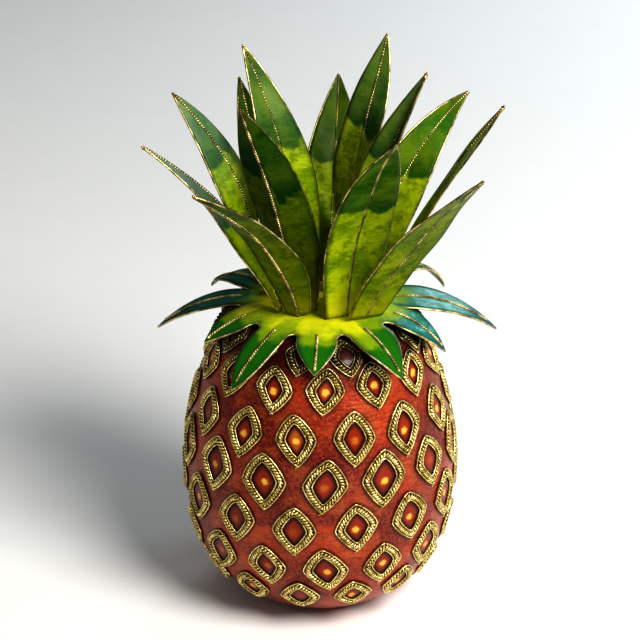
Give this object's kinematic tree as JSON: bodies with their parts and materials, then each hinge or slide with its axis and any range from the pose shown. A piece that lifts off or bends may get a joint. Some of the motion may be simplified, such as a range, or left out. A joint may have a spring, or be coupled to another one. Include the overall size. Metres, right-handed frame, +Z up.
{
  "type": "cloisonne pineapple",
  "caption": "Ornamental pineapple: an egg-shaped enamelled body ringed with raised diamond wire eyes, a drooping leaf collar and a crown of wire-edged leaves.",
  "frame": {"origin": "middle of the flat underside", "axes": "+Z up through the body and crown; -Y is the front that faces the viewer; +X is the viewer's right"},
  "size_m": [0.1403, 0.1481, 0.2308],
  "materials": {
    "red_enamel": "glossy fired enamel over metal, deep red to orange",
    "green_enamel": "glossy fired enamel over metal, yellow-green shading to green tips",
    "gilt_wire": "aged gilt wire with dark recesses"
  },
  "bodies": {
    "root": {"fruit_body": "red_enamel", "collar": "green_enamel", "leaf_01_left_low": "green_enamel", "leaf_02_left_mid": "green_enamel", "leaf_03_front_left": "green_enamel", "leaf_04_front_left_tall": "green_enamel", "leaf_05_back_left": "green_enamel", "leaf_06_left_tall": "green_enamel", "leaf_07_back": "green_enamel", "leaf_08_tallest": "green_enamel", "leaf_09_right_edge_on": "green_enamel", "leaf_10_front": "green_enamel", "leaf_11_right_mid": "green_enamel", "leaf_12_right_outer": "green_enamel", "leaf_13_front_right": "green_enamel", "leaf_14_back_low": "green_enamel", "leaf_15_back_right_low": "green_enamel"}
  },
  "joints": []
}
